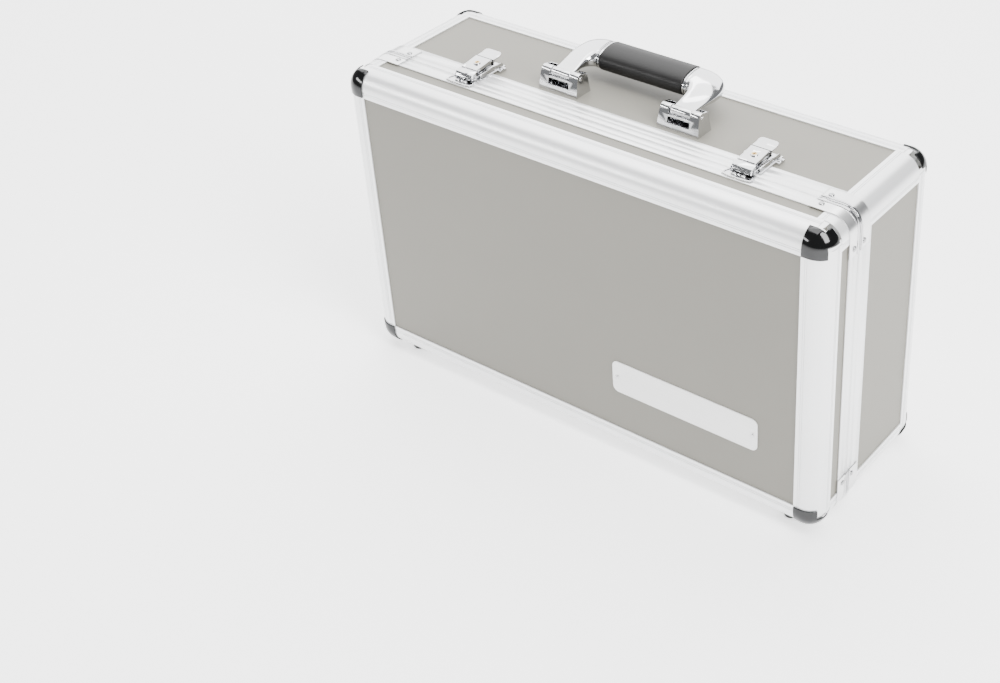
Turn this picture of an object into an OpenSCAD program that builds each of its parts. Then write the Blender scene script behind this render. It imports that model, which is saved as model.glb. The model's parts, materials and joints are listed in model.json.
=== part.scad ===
// Carrying case for a pedalboard, standing upright on its four feet.
// Panels of faced plywood are held in aluminium edge extrusions with ball corners.
// A shallow front lid swings down on two hinges under the case and is held by two key latches on top.
// A folding handle with a padded grip lies back over the top of the base.
// Millimetres. X is the width, Y runs from the lid face to the back, Z is up.
// The origin is the centre of the footprint, on the surface that the feet stand on.

/* [Case] */
// Outside width across the side extrusions
case_w = 500; // [420:5:620]
// Outside depth from the front face to the back face
case_d = 167; // [155:1:220]
// Outside height without the feet
case_h = 295.3; // [240:1:380]
// Depth of the lid, from its front face back to the parting
lid_depth = 48.3; // [46:0.5:60]
// Gap between the lid rim and the base rim when closed
parting_gap = 0.4; // [0.3:0.1:0.8]
// Height of the rubber feet
foot_h = 7; // [6.7:0.1:10]

/* [Panels] */
// Thickness of the faced plywood panels
panel_t = 7; // [5:0.5:9]
// How far a panel lies below the outer face of the extrusions
panel_set = 1.2; // [1:0.1:1.6]
// Play of a panel in its slot, on each face
panel_fit = 0.1; // [0.05:0.05:0.2]
// Depth of the panel slots in the edge extrusions
slot_d = 9; // [6:0.5:9]

/* [Edge extrusions] */
// Width of each leg of the edge extrusions
leg_w = 22.5; // [20:0.5:28]
// Radius of the rounded outer edge
edge_r = 16; // [12:0.5:16]
// Thickness of the inner wall behind the panels
inner_wall = 1.2; // [1:0.1:1.6]
// Width of the fine flutes on the flat lips
flute_w = 0.6; // [0.4:0.1:0.8]
// Depth of the fine flutes
flute_h = 0.35; // [0.2:0.05:0.5]
// Gap at the mitred corners
mitre_gap = 0.1; // [0.05:0.05:0.2]

/* [Rims] */
// Width of the lid rim seen from outside
lid_rim_w = 14; // [13:0.5:18]
// Width of the base rim seen from outside
base_rim_w = 19.4; // [17:0.5:24]
// Depth of the panel slots in the rims
rim_slot_d = 4.5; // [3:0.5:4.5]
// Height of the tongue that stands out of the base rim
tongue_h = 2; // [1.5:0.1:2.2]
// Thickness of the tongue
tongue_t = 2; // [1.6:0.1:2.4]
// Play of the tongue in its groove, on each side
tongue_fit = 0.8; // [0.6:0.1:1]

/* [Ball corners] */
// Length of the ball corners along each edge
cap_leg = 22; // [18:0.5:22]
// How far a ball corner wraps back over the top and bottom
cap_wrap_top = 11; // [9:0.5:13]
// How far a ball corner wraps back over the sides
cap_wrap_side = 6; // [5:0.5:13]
// Reach of the tongue on the rounded edge
cap_tongue = 18.5; // [16.5:0.5:21]
// Width of the tongue on the top and bottom, from the sides of the case
tongue_w_top = 8; // [6:0.5:12]
// Width of the tongue on the sides, from the top or bottom of the case
tongue_w_side = 12; // [6:0.5:13]
// Thickness of the ball corners
cap_t = 1.1; // [0.8:0.1:1.5]
// Play between a ball corner and the extrusions
cap_fit = 0.1; // [0.05:0.05:0.2]

/* [Rim corner brackets] */
// Reach of each bracket leg, from the outer corner of the case
bracket_leg = 36; // [32:0.5:44]
// Thickness of the bracket sheet
bracket_t = 0.8; // [0.6:0.1:1.2]
// Depth of the lid brackets
lid_bracket_w = 14.6; // [12:0.2:16]
// Depth of the base brackets
base_bracket_w = 16; // [13:0.5:20]
// Height of the raised bead above the sheet
bead_h = 0.7; // [0.4:0.1:1]
// Width of the bead
bead_w = 2; // [1.5:0.1:3]
// Distance of the bead from the parting
bead_set = 2.4; // [1.5:0.1:4]
// Distance of the bracket rivets from the outer corner of the case
rivet_along = 29.7; // [28:0.1:33]
// Distance of the rim rivets from the parting
rivet_back = 7.2; // [6.5:0.1:8]

/* [Rivets] */
// Radius of the rivet shanks
shank_r = 1.6; // [1.2:0.1:2]
// Radius of the rivet heads
head_r = 2.5; // [2.2:0.1:3]
// Height of the rivet heads
head_h = 1; // [0.7:0.1:1.3]
// Length of the rivet shanks below the sheet
shank_l = 5; // [3:0.5:6]
// Play of a shank in its hole, on the radius
shank_fit = 0.05; // [0.03:0.01:0.1]

/* [Foam] */
// Thickness of the foam behind the lid face and against the back
foam_t = 10; // [6:0.5:14]
// Thickness of the foam strips around the base
foam_wall = 8; // [5:0.5:12]
// Clearance of the foam from the shell
foam_gap = 0.2; // [0.1:0.1:0.5]

/* [Plate on the lid] */
// Width of the plate
plate_w = 150; // [90:1:180]
// Height of the plate
plate_h = 33; // [20:1:50]
// Thickness of the plate
plate_t = 1; // [0.6:0.1:1.1]
// Corner radius of the plate
plate_r = 6; // [3:0.5:10]
// Centre of the plate across the case
plate_x = 116; // [90:1:125]
// Centre of the plate above the lower face of the case
plate_z = 79.5; // [50:0.5:110]
// Radius of the pin heads that hold the plate
plate_pin_r = 1.8; // [1.4:0.1:2.4]
// Distance of the pins from the ends of the plate
plate_pin_in = 5; // [4:0.5:8]

/* [Feet] */
// Radius of the feet
foot_r = 7; // [5:0.5:9]
// Distance of the feet from the centre of the case
foot_x = 215; // [180:1:218]
// Distance of the feet from the front and back faces
foot_in = 18; // [15:0.5:22]

/* [Hinges] */
// Distance of the hinges from the centre of the case
hinge_x = 160; // [120:1:175]
// Width of the hinges
hinge_w = 50; // [40:1:60]
// Radius of the hinge knuckles
knuckle_r = 2.5; // [2.3:0.1:2.6]
// Distance of the hinge axis below the case
hinge_drop = 2.8; // [2.7:0.1:3]
// Radius of the hinge pins
hinge_pin_r = 1.2; // [1:0.1:1.4]
// Play of the pins in the knuckles, on the radius
hinge_fit = 0.05; // [0.03:0.01:0.1]
// Thickness of the hinge leaves
leaf_t = 1.2; // [1:0.1:1.3]
// Depth of the hinge leaves
leaf_d = 13; // [11:0.5:13.5]
// Width of the middle knuckle
mid_knuckle = 17.4; // [12:0.2:20]
// Side gap between knuckles
knuckle_gap = 0.3; // [0.2:0.1:0.5]
// Reach of the stop fin on the middle knuckle, from the axis
fin_reach = 3.6; // [3.4:0.1:3.8]
// Thickness of the stop fin
fin_t = 1.2; // [1:0.1:1.4]

/* [Handle] */
// Distance of the handle pivots from the centre of the case
handle_x = 63; // [56:1:75]
// Handle pivots behind the parting
handle_back = 32.7; // [32:0.1:38]
// Handle pivot axis above the outer face of the case
handle_z = 14; // [13:0.5:16]
// Angle of the handle above level when it is folded back
handle_tilt = 8; // [6:1:12]
// Width of a handle bracket
hb_w = 42; // [38:1:50]
// Bracket reach in front of the pivot, at the case
hb_front = 8.5; // [8:0.5:10]
// Bracket reach behind the pivot, at the case
hb_rear = 11; // [10:0.5:12]
// How much a bracket narrows towards its top, on each side
hb_lean = 1.5; // [0.5:0.1:2]
// Radius of the rolled knuckles of a bracket
hb_knuckle_r = 4.5; // [4.4:0.1:4.6]
// Thickness of the bracket walls
hb_t = 1.8; // [1.4:0.1:2.2]
// Thickness of the bracket floor
hb_floor = 1.8; // [1.4:0.1:2.2]
// Distance of the bracket screws from the middle of a bracket
hb_screw_x = 14.8; // [13:0.1:16]
// Width of the window in the front wall
window_w = 22; // [16:1:26]
// Height of the window in the front wall
window_h = 5.5; // [4:0.5:6]
// Height of the window above the outer face of the case
window_z = 4.5; // [3:0.5:4.5]
// Radius of the handle hubs
hub_r = 4.2; // [4:0.1:4.3]
// Width of the handle hubs
hub_w = 20; // [16:0.5:22]
// Radius of the handle pins
handle_pin_r = 1.8; // [1.5:0.1:2]
// Play of the handle pins, on the radius
handle_fit = 0.05; // [0.03:0.01:0.1]
// Top of the handle arms above the pivot axis
arm_top = 2.8; // [2.6:0.1:3.2]
// Thickness of the handle arms
arm_t = 3.4; // [2.8:0.1:3.6]
// Clearance of the arms above the rear wall that they rest on
rest_gap = 0.3; // [0.2:0.1:0.5]
// Reach of the handle behind its pivots
arm_l = 59; // [54:0.5:66]
// Half distance between the arms at the grip
arm_in = 48.5; // [46:0.5:50]
// Flare of the inner edges of the arms towards the pivots
arm_flare = 4.5; // [3:0.5:8]
// Half width of the handle over the shoulders
shoulder_x = 76.4; // [74:0.2:90]
// Where the curve of the shoulders ends, from the middle
shoulder_in = 50; // [48:1:56]
// Length of the grip
grip_l = 87; // [74:1:90]
// Depth of the grip across the hand
grip_d = 33; // [30:0.5:36]
// Height of the grip
grip_h = 19.5; // [17:0.5:21]
// Drop of the grip centre below the top of the arms
grip_drop = 3; // [2:0.5:4]
// Width of the flat bar inside the grip
core_w = 24; // [18:0.5:26]
// Thickness of the flat bar inside the grip
core_t = 5.6; // [4:0.2:6]

/* [Latches] */
// Distance of the latches from the centre of the case
latch_x = 145; // [120:1:160]
// Half width of the latch base plates
lb_half = 13.5; // [13:0.5:15]
// Half width of the base plates over their ears
lb_ear = 17; // [16.5:0.5:19]
// Depth of the ears
lb_ear_d = 8; // [6:0.5:9]
// Rear end of the latch base plates, from the parting
lb_rear = 36; // [35:0.5:42]
// Thickness of the latch plates
lb_t = 1.2; // [1:0.1:1.5]
// Height of the side flanges of the base plates
lb_flange = 5; // [4:0.5:5.5]
// Distance of the front rivets of a base plate from the middle of the latch
lb_front_x = 4; // [3.6:0.1:4]
// Front rivets of the base plates, from the parting
lb_front_y = 13; // [12.8:0.1:13.1]
// Distance of the rear rivets of a base plate from the middle of the latch
lb_rear_x = 14.7; // [14.2:0.1:15.5]
// Rear rivets of the base plates, from the parting
lb_rear_y = 29; // [28:0.5:31]
// Half width of the catch plates
catch_half = 14.2; // [13.8:0.1:16]
// Depth of the catch plates
catch_d = 13.3; // [12.5:0.1:13.6]
// Thickness of the catch plates
catch_t = 0.9; // [0.7:0.1:1.1]
// Distance of the catch rivets from the middle of the latch
catch_rivet_x = 4.2; // [3.6:0.1:4.4]
// Distance of the catch rivets from the parting
catch_rivet_y = 7.3; // [7.2:0.1:7.5]
// Lever pivot behind the parting
lever_y = 4.6; // [4.4:0.1:4.8]
// Lever pivot above the outer face of the case
lever_z = 7; // [6.9:0.1:7.2]
// Radius of the lever pin
lever_pin_r = 0.8; // [0.7:0.1:0.9]
// Radius of the cheeks round the lever pin
cheek_r = 1.3; // [1.25:0.05:1.35]
// Width of the lever cover
cover_w = 17; // [16.6:0.1:18]
// Thickness of the lever sheet
cover_t = 0.8; // [0.6:0.1:0.9]
// Width of the thumb tab
tab_w = 18.6; // [17:0.2:20]
// Height of the flat part of the thumb tab
tab_top = 10; // [9.8:0.1:10.3]
// Where the thumb tab starts to rise, from the parting
tab_bend = 32; // [30:0.5:34]
// Height of the raised end of the thumb tab
tab_z = 11.4; // [10.6:0.1:13]
// Rear end of the thumb tab, from the parting
tab_end = 38.6; // [37:0.1:40]
// Hook pivot behind the parting
hook_y = 8.6; // [8.5:0.1:8.8]
// Hook pivot above the outer face of the case
hook_z = 4.2; // [4.1:0.1:4.3]
// Radius of the hook pin
hook_pin_r = 1.1; // [0.9:0.1:1.2]
// Radius of the hook eye
eye_r = 2.2; // [2:0.1:2.2]
// Play of the latch pins, on the radius
latch_fit = 0.05; // [0.03:0.01:0.1]
// Half width of the hook arm
hook_half = 5.8; // [5:0.1:6]
// Half width of the hook nose
nose_half = 9.7; // [9:0.1:9.7]
// Half width of the catch lip inside the nose
lip_half = 7.8; // [7:0.1:8]
// Height of the lip on the catch plates
lip_h = 3.4; // [3:0.1:3.5]
// Radius of the lock barrels
barrel_r = 3.2; // [2.8:0.1:3.2]
// Lock barrel behind the parting
barrel_y = 14.6; // [14.5:0.1:15]
// Play of the lock barrels, on the radius
barrel_fit = 0.05; // [0.03:0.01:0.1]
// Reach of the lock cam
cam_l = 5; // [4.6:0.1:5.1]

/* [Hidden] */
$fn = 64;
x_out = case_w / 2;
y_front = -case_d / 2;
y_back = case_d / 2;
z_low = foot_h;
z_top = foot_h + case_h;
z_mid = foot_h + case_h / 2;
y_part = y_front + lid_depth;
wall_t = panel_set + panel_t + inner_wall;
slot_z = panel_set - panel_fit;
slot_t = panel_t + 2 * panel_fit;
half_gap = parting_gap / 2;
panel_in = leg_w - slot_d + 0.2;
lid_rim_y = lid_depth - lid_rim_w;
base_rim_y = lid_depth + base_rim_w;
handle_y = y_part + handle_back;
rim_in = rim_slot_d - 0.2;
hole_r = shank_r + shank_fit;
cap_r = edge_r + cap_fit;
foam_in = wall_t + foam_gap;
axis_z = z_low - hinge_drop;
outer_knuckle = (hinge_w - mid_knuckle) / 2 - knuckle_gap;
arm_bottom = arm_top - arm_t;
grip_s = arm_l - grip_d / 2 - 1;
grip_t = arm_top - grip_drop;
core_fit = 0.1;
cheek_x = 6.5;
cheek_t = 0.9;
keeper_y = barrel_y + 4.2;

// ---- placing ----

// Children are drawn from a sharp outer corner of the case, inwards along +X, +Y and +Z.
module corner(sx, sy, sz) {
    translate([sx * x_out, sy * case_d / 2, z_mid + sz * case_h / 2])
        mirror([sx > 0 ? 1 : 0, 0, 0])
            mirror([0, sy > 0 ? 1 : 0, 0])
                mirror([0, 0, sz > 0 ? 1 : 0])
                    children();
}

// The four corners of one end of the case.
module four_corners(sy) {
    for (sx = [-1, 1])
        for (sz = [-1, 1])
            corner(sx, sy, sz) children();
}

// Children are drawn along X with +Z pointing into the case, for each side of a ring around it.
module on_top() {
    translate([0, 0, z_top]) mirror([0, 0, 1]) children();
}

module on_bottom() {
    translate([0, 0, z_low]) children();
}

module on_right() {
    translate([x_out, 0, z_mid]) rotate([0, -90, 0]) children();
}

module on_left() {
    mirror([1, 0, 0]) on_right() children();
}

// From the front face backwards, or from the back face forwards.
module from_front() {
    translate([0, y_front, 0]) children();
}

module from_back() {
    translate([0, y_back, 0]) mirror([0, 1, 0]) children();
}

// From the parting forwards over the lid, or backwards over the base.
module lid_side() {
    translate([0, y_part - half_gap, 0]) mirror([0, 1, 0]) children();
}

module base_side() {
    translate([0, y_part + half_gap, 0]) children();
}

// ---- extrusions ----

// Edge extrusion of length l along X, with its outer corner on the X axis.
module edge_bar(l) {
    difference() {
        union() {
            intersection() {
                cube([l, edge_r, edge_r]);
                translate([-1, edge_r, edge_r]) rotate([0, 90, 0]) cylinder(r = edge_r, h = l + 2);
            }
            translate([0, edge_r, 0]) cube([l, leg_w - edge_r, wall_t]);
            translate([0, 0, edge_r]) cube([l, wall_t, leg_w - edge_r]);
        }
        translate([-1, wall_t, wall_t]) cube([l + 2, leg_w, leg_w]);
        translate([-1, leg_w - slot_d, slot_z]) cube([l + 2, slot_d + 1, slot_t]);
        translate([-1, slot_z, leg_w - slot_d]) cube([l + 2, slot_t, slot_d + 1]);
        for (f = [0.6, 2.4])
            translate([-1, edge_r + f, -1]) cube([l + 2, flute_w, 1 + flute_h]);
        for (f = [0.6, 2.4])
            translate([-1, -1, edge_r + f]) cube([l + 2, 1 + flute_h, flute_w]);
    }
}

// Wedge that cuts the mitre, and the rounding of the case corner, at the +X end of a bar.
module mitre_cut(l) {
    g = mitre_gap / 2;
    translate([l / 2, leg_w + 5, 0])
        rotate([90, 0, 0])
            linear_extrude(height = leg_w + 10)
                polygon([[1 - g, -1], [-leg_w - 3 - g, leg_w + 3], [1 - g, leg_w + 3]]);
    difference() {
        translate([l / 2 - edge_r, -1, -1]) cube([edge_r + 1, edge_r + 1, edge_r + 1]);
        translate([l / 2 - edge_r, edge_r, edge_r]) sphere(r = edge_r - 0.45);
    }
    difference() {
        translate([l / 2 - edge_r, edge_r, -1]) cube([edge_r + 1, leg_w - edge_r + 1, edge_r + 1]);
        translate([l / 2 - edge_r, edge_r - 1, edge_r])
            rotate([-90, 0, 0])
                cylinder(r = edge_r - 0.45, h = leg_w);
    }
}

// One side of the mitred ring round the front or the back.
module ring_bar(l) {
    difference() {
        translate([-l / 2, 0, 0]) edge_bar(l);
        mitre_cut(l);
        mirror([1, 0, 0]) mitre_cut(l);
    }
}

// Corner post running back from y1 to y2, drawn in a corner.
module post(y1, y2) {
    mirror([1, -1, 0]) translate([y1, 0, 0]) edge_bar(y2 - y1);
}

// Rim extrusion between two posts, drawn from the parting outwards along +Y.
module rim_bar(l, w, tongue) {
    rim_l = l - 2 * leg_w - 0.2;
    difference() {
        union() {
            translate([-rim_l / 2, 0, 0]) cube([rim_l, w, wall_t]);
            if (tongue)
                translate([-rim_l / 2, -tongue_h, wall_t / 2 - tongue_t / 2])
                    cube([rim_l, tongue_h + 1, tongue_t]);
        }
        translate([-rim_l / 2 - 1, w - rim_slot_d, slot_z]) cube([rim_l + 2, rim_slot_d + 1, slot_t]);
        if (!tongue)
            translate([-rim_l / 2 - 1, -1, wall_t / 2 - tongue_t / 2 - tongue_fit])
                cube([rim_l + 2, tongue_h + 1 + tongue_fit, tongue_t + 2 * tongue_fit]);
        for (f = [0.22, 0.5, 0.78])
            translate([-rim_l / 2 - 1, w * f, -1]) cube([rim_l + 2, flute_w, 1 + flute_h]);
        for (s = [-1, 1])
            translate([s * (l / 2 - rivet_along), rivet_back, -1]) cylinder(r = hole_r, h = shank_l + 2);
    }
}

// ---- sheet parts and fasteners ----

// Bent strip round a case corner, with its legs along X and Z.
module corner_strip(y1, w, inner, t) {
    intersection() {
        translate([-5, y1, -5]) cube([edge_r + 5, w, edge_r + 5]);
        translate([edge_r, y1 - 1, edge_r])
            rotate([-90, 0, 0])
                difference() {
                    cylinder(r = edge_r + inner + t, h = w + 2);
                    translate([0, 0, -1]) cylinder(r = edge_r + inner, h = w + 4);
                }
    }
    translate([edge_r, y1, -inner - t]) cube([bracket_leg - edge_r, w, t]);
    translate([-inner - t, y1, edge_r]) cube([t, w, bracket_leg - edge_r]);
}

// Rim bracket in a corner; y is the parting, dir points away from it.
module rim_bracket(w, dir) {
    y0 = lid_depth + dir * (half_gap + 0.3);
    y1 = dir < 0 ? y0 - w : y0;
    yb = lid_depth + dir * (half_gap + 0.3 + bead_set) - bead_w / 2;
    yr = lid_depth + dir * (half_gap + rivet_back);
    difference() {
        union() {
            corner_strip(y1, w, 0.05, bracket_t);
            corner_strip(yb, bead_w, 0.05, bracket_t + bead_h);
        }
        translate([rivet_along, yr, -5]) cylinder(r = hole_r, h = 10);
        translate([-5, yr, rivet_along]) rotate([0, 90, 0]) cylinder(r = hole_r, h = 10);
    }
}

// Rivet standing on z = 0 with its shank going down.
module rivet(l) {
    rotate_extrude()
        polygon([
            [0, head_h], [head_r * 0.5, head_h * 0.92], [head_r * 0.85, head_h * 0.55],
            [head_r, 0], [shank_r, 0], [shank_r, -l], [0, -l],
        ]);
}

// The two rivets of a rim bracket, drawn in a corner.
module bracket_rivets(dir) {
    yr = lid_depth + dir * (half_gap + rivet_back);
    translate([rivet_along, yr, -0.05 - bracket_t]) mirror([0, 0, 1]) rivet(shank_l);
    translate([-0.05 - bracket_t, yr, rivet_along]) rotate([0, -90, 0]) rivet(shank_l);
}

// Ball corner, drawn in a corner with 0.1 play over the extrusions.
module ball_corner() {
    difference() {
        union() {
            translate([edge_r, edge_r, edge_r])
                rotate([0, 0, 180])
                    rotate_extrude(angle = 90)
                        intersection() {
                            translate([0, -cap_r - cap_t]) square([cap_r + cap_t, cap_r + cap_t]);
                            difference() {
                                circle(r = cap_r + cap_t);
                                circle(r = cap_r);
                            }
                        }
            cap_leg_tube(cap_leg);
            mirror([1, -1, 0]) cap_leg_tube(cap_tongue);
            mirror([1, 0, -1]) cap_leg_tube(cap_leg);
            translate([edge_r, -cap_fit - cap_t, edge_r])
                cube([cap_leg - edge_r, cap_t, cap_leg - edge_r]);
        }
        translate([tongue_w_top, cap_wrap_top, -5]) cube([cap_leg, cap_leg, tongue_w_side + 5]);
        translate([-5, cap_wrap_side, tongue_w_side]) cube([cap_leg + 10, cap_leg, cap_leg]);
    }
}

// Rounded leg of a ball corner along +X, from the ball out to l.
module cap_leg_tube(l) {
    intersection() {
        translate([edge_r, -5, -5]) cube([l - edge_r, edge_r + 5, edge_r + 5]);
        translate([edge_r - 1, edge_r, edge_r])
            rotate([0, 90, 0])
                difference() {
                    cylinder(r = cap_r + cap_t, h = l);
                    translate([0, 0, -1]) cylinder(r = cap_r, h = l + 2);
                }
    }
}

// Flat panel between two points, as a box.
module box(a, b) {
    translate(a) cube([b[0] - a[0], b[1] - a[1], b[2] - a[2]]);
}

// Side panel of the lid or base with +Z into the case, from y1 to y2.
module side_board(l, y1, y2) {
    box([-l / 2 + panel_in, y1, panel_set], [l / 2 - panel_in, y2, panel_set + panel_t]);
}

// Large panel in the front or back ring, y inwards.
module face_board() {
    box([-x_out + panel_in, panel_set, z_low + panel_in],
        [x_out - panel_in, panel_set + panel_t, z_top - panel_in]);
}

// Foam pad behind a large panel, y inwards.
module foam_pad() {
    box([-x_out + leg_w + foam_gap, panel_set + panel_t + foam_gap, z_low + leg_w + foam_gap],
        [x_out - leg_w - foam_gap, foam_in + 1, z_top - leg_w - foam_gap]);
    box([-x_out + foam_in, foam_in, z_low + foam_in],
        [x_out - foam_in, foam_in + foam_t, z_top - foam_in]);
}

// Rubber foot under the case, with a recess for its screw.
module foot() {
    rotate_extrude()
        polygon([
            [0, 0], [foot_r, 0], [foot_r, -foot_h * 0.45], [foot_r - 1.2, -foot_h],
            [foot_r * 0.45, -foot_h], [foot_r * 0.45, -foot_h + 2], [0, -foot_h + 2],
        ]);
}

// Holes through a panel on top of the base, for latches and handle.
module top_holes() {
    for (sx = [-1, 1])
        for (s = [-1, 1])
            translate([sx * latch_x + s * lb_rear_x, y_part + lb_rear_y, z_top - 12])
                cylinder(r = hole_r, h = 14);
    for (sx = [-1, 1])
        for (s = [-1, 1])
            translate([sx * handle_x + s * hb_screw_x, handle_y, z_top - 12]) cylinder(r = hole_r, h = 14);
}

// ---- lid ----

module lid_face_panel() {
    color([0.66, 0.65, 0.61])
        difference() {
            from_front() face_board();
            plate_pin_places() translate([0, -5, 0]) rotate([-90, 0, 0]) cylinder(r = hole_r, h = 20);
        }
}

module lid_strip(l) {
    from_front() side_board(l, panel_in, lid_rim_y + rim_in);
}

module lid_top_panel() {
    color([0.7, 0.69, 0.66]) on_top() lid_strip(case_w);
}

module lid_bottom_panel() {
    color([0.7, 0.69, 0.66]) on_bottom() lid_strip(case_w);
}

module lid_left_panel() {
    color([0.7, 0.69, 0.66]) on_left() lid_strip(case_h);
}

module lid_right_panel() {
    color([0.7, 0.69, 0.66]) on_right() lid_strip(case_h);
}

module lid_edge_top() {
    color([0.9, 0.9, 0.91]) on_top() from_front() ring_bar(case_w);
}

module lid_edge_bottom() {
    color([0.9, 0.9, 0.91]) on_bottom() from_front() ring_bar(case_w);
}

module lid_edge_left() {
    color([0.9, 0.9, 0.91]) on_left() from_front() ring_bar(case_h);
}

module lid_edge_right() {
    color([0.9, 0.9, 0.91]) on_right() from_front() ring_bar(case_h);
}

module lid_corner_posts() {
    color([0.9, 0.9, 0.91]) four_corners(-1) post(leg_w + mitre_gap, lid_depth - half_gap);
}

module lid_ball_corners() {
    color([0.75, 0.76, 0.78]) four_corners(-1) ball_corner();
}

// Lid rim on the hinge side has the holes for the hinge rivets.
module lid_rim() {
    lid_side() rim_bar(case_w, lid_rim_w - half_gap, false);
}

module lid_rim_top() {
    color([0.88, 0.88, 0.89])
        difference() {
            on_top() lid_rim();
            catch_rivet_places() translate([0, 0, -8]) cylinder(r = hole_r, h = 10);
        }
}

module lid_rim_bottom() {
    color([0.88, 0.88, 0.89])
        difference() {
            on_bottom() lid_rim();
            leaf_rivet_places(-1) translate([0, 0, -2]) cylinder(r = hole_r, h = shank_l + 3);
        }
}

module lid_rim_left() {
    color([0.88, 0.88, 0.89]) on_left() lid_side() rim_bar(case_h, lid_rim_w - half_gap, false);
}

module lid_rim_right() {
    color([0.88, 0.88, 0.89]) on_right() lid_side() rim_bar(case_h, lid_rim_w - half_gap, false);
}

module lid_rim_brackets() {
    color([0.83, 0.84, 0.86]) four_corners(-1) rim_bracket(lid_bracket_w, -1);
}

module lid_rivets() {
    color([0.8, 0.81, 0.83]) {
        four_corners(-1) bracket_rivets(-1);
        catch_rivet_places() translate([0, 0, catch_t]) rivet(shank_l);
        leaf_rivet_places(-1) translate([0, 0, -leaf_t]) mirror([0, 0, 1]) rivet(shank_l);
    }
}

module lid_foam_pad() {
    color([0.16, 0.16, 0.17]) from_front() foam_pad();
}

// Centres of the two pins of the plate, on the lid face.
module plate_pin_places() {
    for (s = [-1, 1])
        translate([plate_x + s * (plate_w / 2 - plate_pin_in), y_front + panel_set, z_low + plate_z])
            children();
}

// Plate with rounded corners, left bare.
module front_plate() {
    color([0.92, 0.92, 0.93])
        difference() {
            translate([plate_x, y_front + panel_set, z_low + plate_z])
                rotate([90, 0, 0]) {
                    translate([-plate_w / 2 + plate_r, -plate_h / 2, 0])
                        cube([plate_w - 2 * plate_r, plate_h, plate_t]);
                    for (s = [-1, 1])
                        translate([s > 0 ? plate_w / 2 - plate_r : -plate_w / 2, -plate_h / 2 + plate_r, 0])
                            cube([plate_r, plate_h - 2 * plate_r, plate_t]);
                    for (sx = [-1, 1])
                        for (sz = [-1, 1])
                            translate([sx * (plate_w / 2 - plate_r), sz * (plate_h / 2 - plate_r), 0])
                                intersection() {
                                    cylinder(r = plate_r, h = plate_t);
                                    translate([sx > 0 ? 0 : -plate_r, sz > 0 ? 0 : -plate_r, 0])
                                        cube([plate_r, plate_r, plate_t]);
                                }
                }
            plate_pin_places() translate([0, -5, 0]) rotate([-90, 0, 0]) cylinder(r = hole_r, h = 10);
        }
}

module front_plate_pins() {
    color([0.72, 0.72, 0.74])
        plate_pin_places()
            translate([0, -plate_t, 0])
                rotate([90, 0, 0])
                    rotate_extrude()
                        polygon([
                            [0, 0.9], [1, 0.8], [plate_pin_r, 0], [shank_r, 0],
                            [shank_r, -5], [0, -5],
                        ]);
}

// ---- latches: local frame at the parting, on the outer face of the case ----

module latch_at(s) {
    translate([s * latch_x, y_part, z_top]) children();
}

module catch_rivet_places() {
    for (s = [-1, 1])
        latch_at(s)
            for (k = [-1, 1])
                translate([k * catch_rivet_x, -catch_rivet_y, 0]) children();
}

// Outline of a catch plate, smaller by d on every side but the rear.
module catch_outline(d) {
    a = catch_half - d;
    b = catch_d - d;
    polygon([
        [-a, -b * 0.7], [-a + 0.6, -b + 1.1], [-a / 2, -b], [a / 2, -b], [a - 0.6, -b + 1.1],
        [a, -b * 0.7], [a - 2.7, -0.5], [-a + 2.7, -0.5],
    ]);
}

// Raised edge round the front and sides of a catch plate.
module catch_edge() {
    difference() {
        linear_extrude(height = catch_t + 0.8) catch_outline(0.2);
        translate([0, 0, -1]) linear_extrude(height = 5) catch_outline(1.4);
        translate([-catch_half, -2, -1]) cube([2 * catch_half, 4, 5]);
    }
}

// Catch plate on the lid rim with the lip that the hook pulls on.
module latch_catches() {
    color([0.8, 0.81, 0.84])
        difference() {
            for (s = [-1, 1])
                latch_at(s) {
                    linear_extrude(height = catch_t) catch_outline(0);
                    catch_edge();
                    translate([-lip_half, -1.2, 0.5]) cube([2 * lip_half, 0.8, lip_h - 0.5]);
                }
            catch_rivet_places() translate([0, 0, -1]) cylinder(r = hole_r, h = 4);
        }
}

// Profile in the YZ plane, extruded along X to both sides by h.
module across(h) {
    rotate([90, 0, 90]) translate([0, 0, -h]) linear_extrude(height = 2 * h) children();
}

module latch_rivet_places() {
    for (s = [-1, 1])
        latch_at(s)
            for (k = [-1, 1]) {
                translate([k * lb_front_x, lb_front_y, 0]) children();
                translate([k * lb_rear_x, lb_rear_y, 0]) children();
            }
}

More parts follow.
